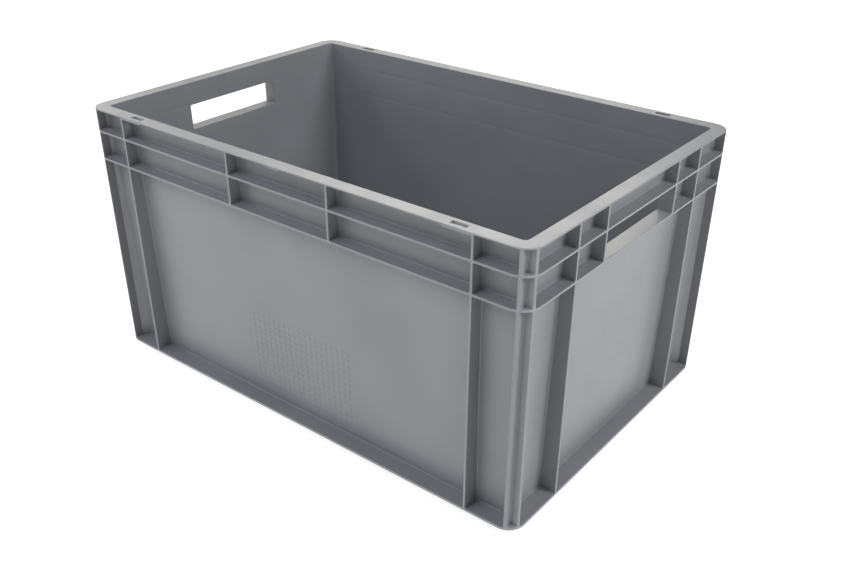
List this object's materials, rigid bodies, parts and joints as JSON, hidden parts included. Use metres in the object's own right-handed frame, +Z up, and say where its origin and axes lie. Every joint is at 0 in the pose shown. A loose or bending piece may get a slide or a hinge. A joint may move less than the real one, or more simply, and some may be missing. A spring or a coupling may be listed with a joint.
{
  "type": "stacking container",
  "caption": "Euro-format stacking crate with closed ribbed walls, a flat reinforced rim, a stacking foot and an open hand hole in each short end.",
  "frame": {"origin": "middle of the rectangle that the foot stands on", "axes": "+X along the long sides, +Z up; the long side with the dimpled patch faces -Y"},
  "size_m": [0.6, 0.4, 0.32],
  "materials": {
    "crate_plastic": "grey polypropylene, fine mould grain with a soft sheen"
  },
  "bodies": {
    "root": {"back_band_rib_1": "crate_plastic", "back_band_rib_2": "crate_plastic", "back_flange": "crate_plastic", "back_foot": "crate_plastic", "back_left_post": "crate_plastic", "back_lower_belt": "crate_plastic", "back_panel_rib_1": "crate_plastic", "back_panel_rib_2": "crate_plastic", "back_right_post": "crate_plastic", "back_rim": "crate_plastic", "back_upper_belt": "crate_plastic", "back_wall": "crate_plastic", "floor_panel": "crate_plastic", "front_band_rib_1": "crate_plastic", "front_band_rib_2": "crate_plastic", "front_flange": "crate_plastic", "front_foot": "crate_plastic", "front_left_post": "crate_plastic", "front_lower_belt": "crate_plastic", "front_panel_rib_1": "crate_plastic", "front_panel_rib_2": "crate_plastic", "front_right_post": "crate_plastic", "front_rim": "crate_plastic", "front_upper_belt": "crate_plastic", "front_wall": "crate_plastic", "left_flange": "crate_plastic", "left_foot": "crate_plastic", "left_handle_rib_1": "crate_plastic", "left_handle_rib_2": "crate_plastic", "left_lower_belt": "crate_plastic", "left_panel_rib_1": "crate_plastic", "left_panel_rib_2": "crate_plastic", "left_rim": "crate_plastic", "left_upper_belt": "crate_plastic", "left_wall": "crate_plastic", "right_flange": "crate_plastic", "right_foot": "crate_plastic", "right_handle_rib_1": "crate_plastic", "right_handle_rib_2": "crate_plastic", "right_lower_belt": "crate_plastic", "right_panel_rib_1": "crate_plastic", "right_panel_rib_2": "crate_plastic", "right_rim": "crate_plastic", "right_upper_belt": "crate_plastic", "right_wall": "crate_plastic", "underside_grid": "crate_plastic"}
  },
  "joints": []
}
